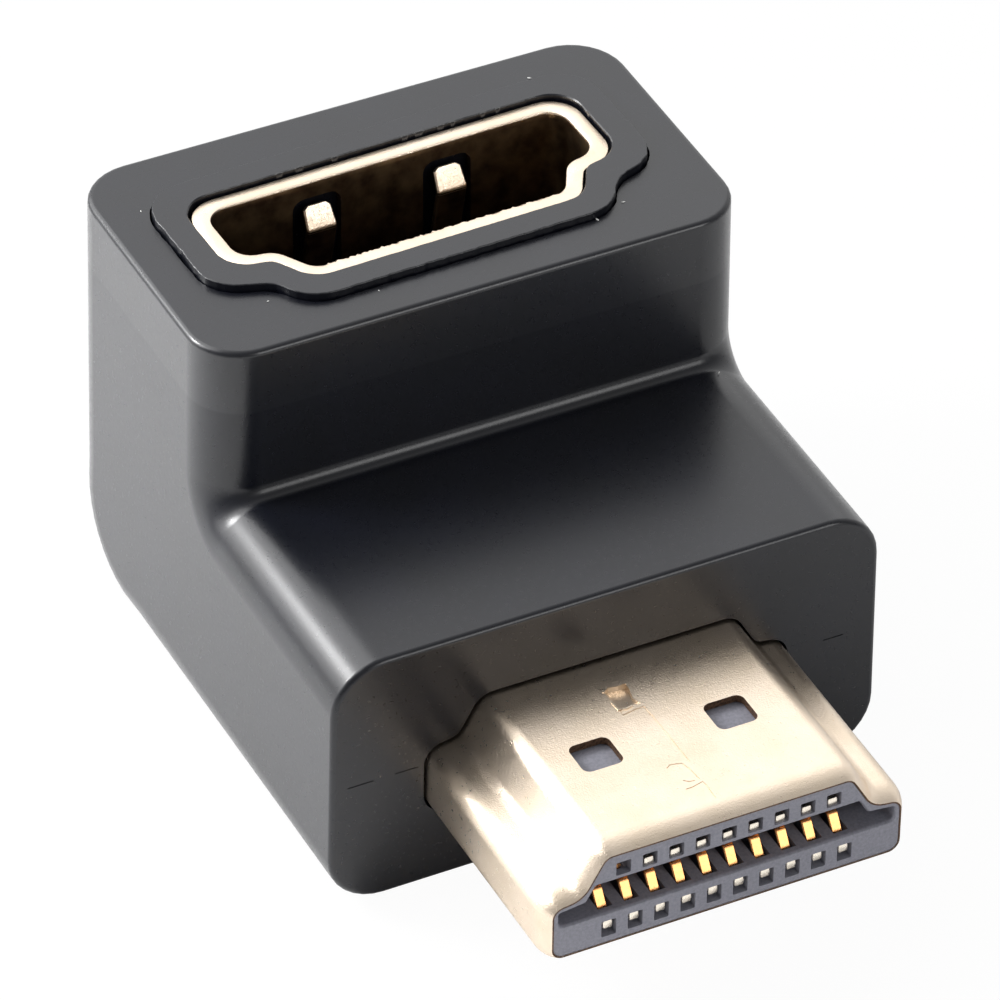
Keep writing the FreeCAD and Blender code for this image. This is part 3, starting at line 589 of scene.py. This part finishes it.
def contact_places(count):
    """Where the contacts of a row stand across the plug."""
    return [(i - (count - 1) / 2) * PITCH for i in range(count)]


def slot_loop(grow, y):
    """The plug's slot: it follows the outline inside a thin wall, between its floor and roof."""
    inset = SLOT_INSET - grow
    slant, slant_shift, land_shift = (round(value, 3) for value in (SLANT, SLANT_SHIFT, LAND_SHIFT))
    side, shoulder = PLUG_WIDTH / 2 - inset, PLUG_WIDTH / 2 - LAND_WIDTH - inset * slant_shift
    shoulder_level = WIDE_HEIGHT + LAND_RISE - inset
    roof = SLOT_ROOF + grow
    places = [(side, SLOT_FLOOR - grow), (side, WIDE_HEIGHT - inset * land_shift),
              (shoulder, shoulder_level), (shoulder - (roof - shoulder_level) * slant, roof)]
    half = [(x, z, radius) for (x, z), radius in zip(places, SLOT_RADII)]
    corners = half + [(-x, z, radius) for x, z, radius in reversed(half)]
    return [Vector((p.x, y, PLUG_FLOOR + p.y)) for p in rounded_outline(corners, SLOT_STEPS)]


def make_plug_core(material):
    """The plug's insulator: a block in the sleeve with one wide slot and a cell for each contact."""
    inset = SHEET + FIT
    mesh = bmesh.new()
    loft(mesh, [plug_loop(inset, PLUG_END), plug_loop(inset, MOUTH + MOUTH_LENGTH),
                plug_loop(FACE_INSET, FACE)])
    piece = as_object("plug_core", mesh)
    slot = bmesh.new()
    loft(slot, [slot_loop(grow, FACE + deep) for grow, deep in ((0.0, SLOT_LENGTH), *SLOT_EASE)])
    combined(piece, slot)
    clear = SLOT_EASE[-1][1]                   # where the slot's and the cells' cuts start, before the face
    half = CELL_WIDTH / 2
    for count, (middle, height), wall in ((WIDE_COUNT, WIDE_CELL, SLOT_FLOOR),
                                          (NARROW_COUNT, NARROW_CELL, SLOT_ROOF)):
        near, far = sorted((middle, wall + (CELL_REACH if wall > middle else -CELL_REACH)))
        tall = height / 2
        cells, openings = bmesh.new(), bmesh.new()
        for x in contact_places(count):
            corners = [(x - half, middle - tall), (x + half, middle - tall),
                       (x + half, middle + tall), (x - half, middle + tall)]
            outline = rounded_outline([(a, b, CELL_ROUNDING) for a, b in corners], CELL_STEPS)
            loft(cells, [[Vector((p.x, y, PLUG_FLOOR + p.y)) for p in outline]
                         for y in (FACE + clear, PLUG_END + PAST)])
            corners = [(x - half, near), (x + half, near), (x + half, far), (x - half, far)]
            loft(openings, [[Vector((a, y, PLUG_FLOOR + b)) for a, b in corners]
                            for y in (FACE + CELL_BRIDGE, FACE + CELL_OPEN)])
        combined(piece, cells)
        combined(piece, openings)
    return finished(piece, material, "insulator", "plug_insulator")


def make_plug_contacts(material):
    """Spring contacts: each rises from its cell over a ramp to the crest that touches the socket's tongue."""
    under, over = board_low.z - PLUG_FLOOR, board_high.z - PLUG_FLOOR
    start = PLUG_END + FIT
    for row, count, wall, inwards, drop, middle, board_face in (
            ("wide", WIDE_COUNT, SLOT_FLOOR, 1, WIDE_TIP_DROP, WIDE_CELL[0], under - STRIP_THICK / 2),
            ("narrow", NARROW_COUNT, SLOT_ROOF, -1, NARROW_TIP_DROP, NARROW_CELL[0], over + STRIP_THICK / 2)):
        tip, crest = wall - inwards * drop, wall + inwards * (CREST_RISE - STRIP_THICK / 2)
        ramp_end = (BLUNT_START, (1 - BLUNT_PART) * tip + BLUNT_PART * crest, 0)
        front = [(TIP_START, tip, 0), (TIP_END, tip, TIP_BEND)]
        spring = [(CREST_START, crest, CREST_BEND), (CREST_END, crest, CREST_BEND),
                  (ROOT_START, middle, ROOT_BEND)]
        tail = [(start, PLUG_FLOOR + middle, TAIL_BEND),
                (start + TAIL_RISE, PLUG_FLOOR + board_face, TAIL_BEND),
                (start + TAIL_END, PLUG_FLOOR + board_face, 0)]
        whole, blunt = ([(FACE + along, PLUG_FLOOR + level, bend)
                         for along, level, bend in first + spring] + tail for first in (front, [ramp_end]))
        for i, x in enumerate(contact_places(count)):
            mesh = bmesh.new()
            if (row, i) == BLUNT_CONTACT:
                sweep(mesh, bent_path(blunt), x, STRIP_WIDTH, STRIP_THICK)
            else:
                sweep(mesh, bent_path(whole), x, STRIP_WIDTH, STRIP_THICK, TIP_WIDTH, TIP_LENGTH, TIP_SWELL)
            piece = as_object(f"plug_spring_{row}_{i + 1:02d}", mesh)
            finished(piece, material, "contacts", f"plug_contact_{row}_{i + 1:02d}")


def burred(loop, amount):
    """Roughens the part of a level loop on the socket's narrow side, where the lip was trimmed."""
    edge = SOCKET_BACK - PLUG_HEIGHT + TRIM_DEPTH
    left, right = TRIM_SPAN
    moved = []
    for p in resampled(loop, TRIM_POINTS):
        if p.y < edge and left < p.x < right:
            burr = TRIM_LEVEL + sum(weight * noise.noise(Vector((p.x * rate, seed, 0)))
                                    for rate, weight, seed in TRIM_WAVES)
            p = p + Vector((0, amount * burr, 0))
        moved.append(p)
    return moved


def make_socket_sleeve(material, cut_material, bore_shade_material):
    """The socket's sleeve: a flat lip round a drawn tube, with two spring fingers in each long wall."""
    base = board_high.z
    lip_floor = lip_top - LIP_HEIGHT
    tube, wall = -SOCKET_GAP, -SOCKET_GAP - SHEET
    lip = {"convex": LIP_RADIUS, "concave": LIP_COVE}
    bore = {"concave": BORE_COVE}
    outside = [(wall, base, {}), (wall, lip_floor, {}), (LIP_EASE - LIP_WIDTH, lip_floor, lip),
               (-LIP_WIDTH, lip_floor + LIP_FOOT, lip), (-LIP_WIDTH, lip_top - LIP_EASE, lip),
               (LIP_ARC - LIP_WIDTH, lip_top - LIP_ARC, lip), (LIP_EASE - LIP_WIDTH, lip_top, lip)]
    inside = [*((tube + grow, lip_top - down, bore) for grow, down in BORE_EASE), (tube, base, bore)]
    burrs = [0.0] * len(outside) + [*TRIM_BURRS] + [0.0] * (len(inside) - len(TRIM_BURRS))
    mesh = bmesh.new()
    loft(mesh, [burred(socket_loop(inset, z, **radii), burr)
                for (inset, z, radii), burr in zip(outside + inside, burrs)], ring=True)
    piece = as_object("socket_sleeve", mesh)
    for finish in (material, cut_material, bore_shade_material):
        piece.data.materials.append(finish)
    slot_top = lip_top - FINGER_TOP
    back_wall = SOCKET_BACK + SOCKET_GAP + SHEET / 2
    front_wall = SOCKET_BACK - PLUG_HEIGHT - SOCKET_GAP - SHEET / 2
    for y, inwards in ((back_wall, -1), (front_wall, 1)):
        for side in (-1, 1):
            x, half, root = side * FINGER_PLACE, FINGER_SLOT / 2, slot_top - FINGER_LENGTH
            corners = rounded_outline([(x - half, root, SLOT_FOOT), (x + half, root, SLOT_FOOT),
                                       (x + half, slot_top, SLOT_HEAD), (x - half, slot_top, SLOT_HEAD)])
            slot = bmesh.new()
            loft(slot, [[seated(Vector((p.x, y + deep, p.y))) for p in corners] for deep in (-SHEET, SHEET)])
            combined(piece, slot, material=cut_material)
            path = [(y + inwards * away, slot_top - down, bend) for away, down, bend in FINGER_LINE]
            finger = bmesh.new()
            sweep(finger, bent_path(path, FINGER_STEPS), x, FINGER_WIDTH, FINGER_THICK,
                  FINGER_TIP_WIDTH, FINGER_TIP_LENGTH)
            for vertex in finger.verts:
                vertex.co = seated(vertex.co)
            combined(piece, finger, "UNION", material)
    foot, knee = base - LEG_LENGTH, base + LEG_WIDTH
    for side in (-1, 1):
        x, y = side * (PLUG_WIDTH / 2 - wall - SHEET / 2), SOCKET_BACK - SIDE_LEG_LEVEL
        combined(piece, block((x - SHEET / 2, y - LEG_WIDTH / 2, foot),
                              (x + SHEET / 2, y + LEG_WIDTH / 2, knee)), "UNION")
        x = side * LEG_PLACE
        combined(piece, block((x - LEG_WIDTH / 2, SOCKET_BACK - tube, foot),
                              (x + LEG_WIDTH / 2, SOCKET_BACK - wall, knee)), "UNION")
    # Upright faces under the bright edge, and all faces deep in the bore, take the plating painted brown as
    # shade.
    bright_from, shade_below = (lip_top - EDGE_BRIGHT) * MM, (slot_top - BORE_SHADE_LEVEL) * MM
    for face in piece.data.polygons:
        upright = face.material_index == 0 and abs(face.normal.z) < UPRIGHT
        if upright and face.center.z < bright_from or face.center.z < shade_below:
            face.material_index = 2            # the bore's plating, painted brown as shade deep in the socket
    return finished(piece, material, "plated_shell", "socket_shell")


def make_crumbs(material):
    """Crumbs of flash that cling to the moulding beside the collar and in the elbow."""
    mesh = bmesh.new()
    for i, (x, y, level, size) in enumerate(CRUMBS):
        grown = bmesh.ops.create_icosphere(mesh, subdivisions=2, radius=size)["verts"]
        turn = Matrix.Rotation(i * CRUMB_TURN, 3, "Z")
        for vertex in grown:
            rough = 1 + CRUMB_ROUGH * noise.noise(vertex.co * CRUMB_WAVES + Vector((i, 0, 0)))
            point = turn @ (vertex.co * CRUMB_STRETCH) * rough
            vertex.co = point + Vector((x, FRONT + y, level + size * CRUMB_SIT))
    piece = as_object("moulding_crumbs", mesh)
    return finished(piece, material, "housing")


def add_node(tree, kind, inputs=None, links=None, **settings):
    """Adds a shader node with its settings, input values and links {input: socket}."""
    node = tree.nodes.new(kind)
    for name, value in settings.items():
        setattr(node, name, value)
    for name, value in (inputs or {}).items():
        node.inputs[name].default_value = value
    for name, socket in (links or {}).items():
        tree.links.new(socket, node.inputs[name])
    return node


def new_material(name, colour, **sockets):
    """A principled material; a pattern linked to its colour or roughness varies them about these values."""
    material = bpy.data.materials.new(name)
    material.use_nodes = True
    shader = material.node_tree.nodes["Principled BSDF"]
    shader.inputs["Base Color"].default_value = srgb(colour)
    for socket, value in sockets.items():
        shader.inputs[socket.replace("_", " ")].default_value = value
    return material, material.node_tree, shader


def per_mm(size):
    """Scale of a pattern in object space whose features are that many millimetres apart."""
    return 1 / (size * MM)


def pattern(tree, kind, size, **inputs):
    """A 0 to 1 pattern in object space whose features are that many millimetres across."""
    place = add_node(tree, "ShaderNodeTexCoord").outputs["Object"]
    return add_node(tree, kind, {"Scale": per_mm(size), **inputs}, {"Vector": place}).outputs["Fac"]


def stepped(tree, axis, start, end, first=0.0, last=1.0):
    """A value that goes from first to last between two places, in millimetres, along an axis."""
    place = add_node(tree, "ShaderNodeTexCoord").outputs["Object"]
    along = add_node(tree, "ShaderNodeSeparateXYZ", links={"Vector": place}).outputs[axis]
    span = {"From Min": start * MM, "From Max": end * MM, "To Min": first, "To Max": last}
    return add_node(tree, "ShaderNodeMapRange", span, {"Value": along}).outputs["Result"]


def bumped(tree, shader, height, depth, normal=None):
    """Bump of a real depth in millimetres on the shader's normal."""
    links = {"Height": height}
    if normal:
        links["Normal"] = normal
    bump = add_node(tree, "ShaderNodeBump", {"Strength": 1.0, "Distance": depth * MM}, links)
    tree.links.new(bump.outputs["Normal"], shader.inputs["Normal"])
    return bump.outputs["Normal"]


def varied(tree, socket, value, low, high):
    """Spreads a 0 to 1 value between two levels on a socket."""
    span = add_node(tree, "ShaderNodeMapRange", {"To Min": low, "To Max": high}, {"Value": value})
    tree.links.new(span.outputs["Result"], socket)


def tinted(tree, shader, value, first, second, low=0.3, high=0.7):
    """Colour between two shades, by a 0 to 1 value."""
    ramp = add_node(tree, "ShaderNodeValToRGB", links={"Fac": value})
    for stop, place, colour in zip(ramp.color_ramp.elements, (low, high), (first, second)):
        stop.position, stop.color = place, srgb(colour)
    tree.links.new(ramp.outputs["Color"], shader.inputs["Base Color"])


def moulded_pvc():
    """PVC from a spark-eroded tool: charcoal and satin, with a fine even grain and flow mottling.

    The insert that forms the socket's end was polished more, so that end is a little shinier. The real grain
    is near 0.03 mm; it is drawn at 0.16 mm, the finest that the render shows.
    """
    material, tree, shader = new_material("moulded_pvc", "0d0e14", Roughness=0.29, IOR=1.53)
    grain = pattern(tree, "ShaderNodeTexNoise", 0.16, Detail=2.0, Roughness=0.6)
    flow = pattern(tree, "ShaderNodeTexNoise", 2.4, Detail=4.0)
    tinted(tree, shader, flow, "0b0d14", "0e1019")
    varied(tree, shader.inputs["Roughness"], grain, 0.24, 0.34)
    bumped(tree, shader, grain, 0.0007)
    polish = stepped(tree, "Z", INSERT_LEVEL - INSERT_BLEND, INSERT_LEVEL + INSERT_BLEND, 0.5, 0.6)
    tree.links.new(polish, shader.inputs["Specular IOR Level"])
    return material


def gold_plated_steel():
    """Pressed steel sheet with pale champagne plating: glossy, over the peel and grit of the rolled sheet."""
    material, tree, shader = new_material("gold_plated_steel", "ebdac7", Metallic=1.0, Roughness=0.32)
    peel = pattern(tree, "ShaderNodeTexNoise", 0.22, Detail=3.0, Roughness=0.65)
    cloud = pattern(tree, "ShaderNodeTexNoise", 1.6, Detail=3.0)
    tinted(tree, shader, cloud, "e8d6bf", "f1e0cc")
    grit = pattern(tree, "ShaderNodeTexNoise", 0.05, Detail=1.0)
    varied(tree, shader.inputs["Roughness"], peel, 0.22, 0.38)
    bumped(tree, shader, grit, 0.011, normal=bumped(tree, shader, peel, 0.004))
    return material


def bore_shade_plating():
    """The same plating down in the socket, painted brown as the shade there, and half matt."""
    material, tree, shader = new_material("bore_shade_plating", "846c54", Metallic=1.0, Roughness=0.35)
    shade_mottle = pattern(tree, "ShaderNodeTexNoise", 0.9, Detail=4.0, Roughness=0.6)
    tinted(tree, shader, shade_mottle, "665242", "a08868")
    varied(tree, shader.inputs["Roughness"], shade_mottle, 0.28, 0.45)
    return material


def cut_steel():
    """Edges where the sheet was sheared after plating: bare steel, drawn dark brown."""
    material, tree, shader = new_material("cut_steel", "5b4334", Metallic=0.6, Roughness=0.6)
    torn = pattern(tree, "ShaderNodeTexNoise", 0.08, Detail=2.0)
    tinted(tree, shader, torn, "3a2a20", "7a5c46")
    bumped(tree, shader, torn, 0.01)
    return material


def lcp_plastic():
    """Glass-filled LCP, moulded blue-grey: matt, with short glass fibres that fleck its skin.

    A fibre is near 0.01 mm thick; the flecks are drawn at 0.12 mm, so that they show.
    """
    material, tree, shader = new_material("lcp_plastic", "83838d", Roughness=0.5)
    fleck = pattern(tree, "ShaderNodeTexNoise", 0.12, Detail=3.0, Roughness=0.7)
    tinted(tree, shader, fleck, "787882", "8f8f99")
    varied(tree, shader.inputs["Roughness"], fleck, 0.42, 0.6)
    bumped(tree, shader, fleck, 0.003)
    return material


def stressed_pvc():
    """Torn PVC, white where it was stretched: matt."""
    material, tree, shader = new_material("stressed_pvc", "dcdcda", Roughness=0.7)
    torn = pattern(tree, "ShaderNodeTexNoise", 0.05, Detail=2.0)
    tinted(tree, shader, torn, "c4c4c2", "f0f0ee")
    return material


def nylon():
    """Black glass-filled nylon, moulded: satin, slightly mottled."""
    material, tree, shader = new_material("nylon", "1a1817", Roughness=0.45)
    mottle = pattern(tree, "ShaderNodeTexNoise", 0.5, Detail=3.0)
    tinted(tree, shader, mottle, "151413", "201e1c")
    varied(tree, shader.inputs["Roughness"], mottle, 0.38, 0.55)
    return material


def gold_flash():
    """Phosphor bronze strip with a flash of gold: satin, with drawing marks; its tips by the face are painted
    pale, as a highlight.
    """
    material, tree, shader = new_material("gold_flash", "f0bf80", Metallic=1.0, Roughness=0.28)
    drawn = pattern(tree, "ShaderNodeTexNoise", 0.1, Detail=2.0)
    # Painted highlight: the tips by the face are near white, and the strip turns orange behind them.
    tinted(tree, shader, stepped(tree, "Y", *TIP_HIGHLIGHT_SPAN), "fff6e6", "e3a468")
    varied(tree, shader.inputs["Roughness"], drawn, 0.2, 0.36)
    return material


def solder_mask():
    """Epoxy solder mask on a glass board: green, glossy, over the weave of the glass cloth."""
    material, tree, shader = new_material("solder_mask", "1d5a32", Roughness=0.3)
    weave = pattern(tree, "ShaderNodeTexWave", 0.5, Distortion=0.3)
    tinted(tree, shader, weave, "1b5530", "206238")
    bumped(tree, shader, weave, 0.003)
    return material


def look_from(azimuth, elevation, roll):
    """Columns right, up and back of a camera turned by these angles."""
    back = Vector((math.sin(azimuth) * math.cos(elevation), -math.cos(azimuth) * math.cos(elevation),
                   math.sin(elevation)))
    right = (-back).cross(Vector((0, 0, 1))).normalized()
    up = back.cross(right)
    turned = right * math.cos(roll) + up * math.sin(roll)
    return Matrix((turned, back.cross(turned), back)).transposed()


def add_camera():
    camera = bpy.data.objects.new("camera", bpy.data.cameras.new("camera"))
    camera.data.sensor_width = SENSOR
    camera.data.lens = SENSOR * FOCAL_PIXELS / PHOTO_PIXELS
    camera.data.clip_start = 0.01
    place = Vector(CAMERA_PLACE) * MM + Vector((0, FRONT * MM, 0))
    camera.matrix_world = Matrix.Translation(place) @ look_from(*CAMERA_ANGLES).to_4x4()
    bpy.context.scene.collection.objects.link(camera)
    bpy.context.scene.camera = camera


def hang(light, place, aim):
    """Hangs a light at a place and turns it to what it lights, both in metres."""
    lamp = bpy.data.objects.new(light.name, light)
    lamp.location = place
    lamp.rotation_euler = (Vector(aim) - Vector(place)).to_track_quat("-Z", "Y").to_euler()
    bpy.context.scene.collection.objects.link(lamp)


def add_soft_box(name, place, size, power):
    """A square white light that faces the part."""
    light = bpy.data.lights.new(name, "AREA")
    light.size, light.energy = size, power
    hang(light, place, LIT_PLACE)


def add_floor_wash():
    """A small spot that brightens the paper behind the part on its left, which the side face mirrors."""
    light = bpy.data.lights.new("floor_wash", "SPOT")
    light.energy, light.spot_size, light.spot_blend = WASH_POWER, WASH_CONE, 1.0
    light.shadow_soft_size = WASH_RADIUS
    hang(light, WASH_PLACE, WASH_AIM)


def rays(tree, *kinds):
    """1 for the named kinds of ray, 0 for the others."""
    path = add_node(tree, "ShaderNodeLightPath")
    total = path.outputs[kinds[0]]
    for kind in kinds[1:]:
        total = add_node(tree, "ShaderNodeMath", links={0: total, 1: path.outputs[kind]},
                         operation="MAXIMUM").outputs["Value"]
    return total


def add_floor():
    """White paper; the camera sees it near white, with part of the object's shadow kept."""
    mesh = bmesh.new()
    mesh.faces.new([mesh.verts.new((x * FLOOR_HALF, y * FLOOR_HALF, 0))
                    for x, y in ((-1, -1), (1, -1), (1, 1), (-1, 1))])
    data = bpy.data.meshes.new("floor")
    mesh.to_mesh(data)
    floor = bpy.data.objects.new("floor", data)
    bpy.context.scene.collection.objects.link(floor)
    material, tree, shader = new_material("white_paper", "f4f4f4", Roughness=0.9)
    white = add_node(tree, "ShaderNodeEmission", {"Color": (1, 1, 1, 1), "Strength": 1.0})
    seen = add_node(tree, "ShaderNodeMath", {1: FLOOR_WHITE}, {0: rays(tree, "Is Camera Ray")},
                    operation="MULTIPLY")
    mix = add_node(tree, "ShaderNodeMixShader", links={0: seen.outputs["Value"], 1: shader.outputs[0],
                                                       2: white.outputs[0]})
    tree.links.new(mix.outputs[0], tree.nodes["Material Output"].inputs["Surface"])
    data.materials.append(material)


def add_world():
    """A studio that the camera sees white, mirrors see white behind the part and dim in front of it, and
    that lights the part dimly."""
    world = bpy.data.worlds.new("studio")
    bpy.context.scene.world = world
    world.use_nodes = True
    tree = world.node_tree
    background = tree.nodes["Background"]
    background.inputs["Color"].default_value = (1, 1, 1, 1)
    place = add_node(tree, "ShaderNodeTexCoord").outputs["Generated"]
    along = add_node(tree, "ShaderNodeSeparateXYZ", links={"Vector": place}).outputs["Y"]
    room = {"From Min": ROOM_DIM, "From Max": ROOM_WHITE, "To Min": ROOM_LEVEL, "To Max": 1.0}
    mirrored = add_node(tree, "ShaderNodeMapRange", room, {"Value": along}).outputs["Result"]
    in_mirrors = rays(tree, "Is Glossy Ray", "Is Transmission Ray")
    level = add_node(tree, "ShaderNodeMapRange", {"To Min": WORLD_LEVEL},
                     {"Value": in_mirrors, "To Max": mirrored}).outputs["Result"]
    shown = add_node(tree, "ShaderNodeMath", links={0: level, 1: rays(tree, "Is Camera Ray")},
                     operation="MAXIMUM")
    tree.links.new(shown.outputs["Value"], background.inputs["Strength"])


# Camera solved from the photo: place from the middle of the body's front face, azimuth, elevation and roll
CAMERA_PLACE = (-99.900, -187.389, 184.140)
CAMERA_ANGLES = (math.radians(-27.03), math.radians(38.64), math.radians(0.95))
FOCAL_PIXELS, PHOTO_PIXELS, SENSOR = 8037.4, 1000, 36.0

# Light levels: of the surroundings as a source, of their dim side in mirrors, and of the paper to the camera
WORLD_LEVEL, ROOM_LEVEL, FLOOR_WHITE = 0.35, 0.3, 0.96
ROOM_DIM, ROOM_WHITE = -0.5, 0.3               # where the dim side ends and the white one starts, along Y
FLOOR_HALF = 1.0
LIT_PLACE = (0, 0, 0.008)                      # what the soft boxes face, in metres, as are the places below
WASH_PLACE, WASH_AIM, WASH_RADIUS = (-0.065, 0.045, 0.055), (-0.026, 0.018, 0), 0.015
WASH_POWER, WASH_CONE = 0.35, math.radians(70)

add_camera()
add_world()
add_floor()
add_soft_box("key", (-0.20, 0.20, 0.22), 0.45, 1.7)            # behind the part on its left
add_soft_box("fill", (0.135, -0.32, 0.15), 0.16, 0.3)          # in front: lights the spring fingers' bows
add_soft_box("back_box", (0.14, 0.27, 0.25), 0.35, 0.22)       # where the level faces' mirror image lies
add_floor_wash()
bpy.context.scene.view_settings.view_transform = "Standard"

pvc, gold, bare_steel, lcp = moulded_pvc(), gold_plated_steel(), cut_steel(), lcp_plastic()
tongue_nylon, contact_gold, board_green = nylon(), gold_flash(), solder_mask()
finishes = {"plug_shell": gold, "socket_shell": gold, "plug_insulator": lcp,
            "socket_insulator": tongue_nylon, "circuit_board": board_green}
for name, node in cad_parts.items():
    material = contact_gold if "contact" in name else finishes.get(name, pvc)
    node.data.materials.clear()
    node.data.materials.append(material)
make_housing(pvc)
make_inner_mould(pvc)
make_crumbs(stressed_pvc())
make_plug_sleeve(gold, bare_steel)
make_plug_core(lcp)
make_plug_contacts(contact_gold)
make_socket_sleeve(gold, bare_steel, bore_shade_plating())
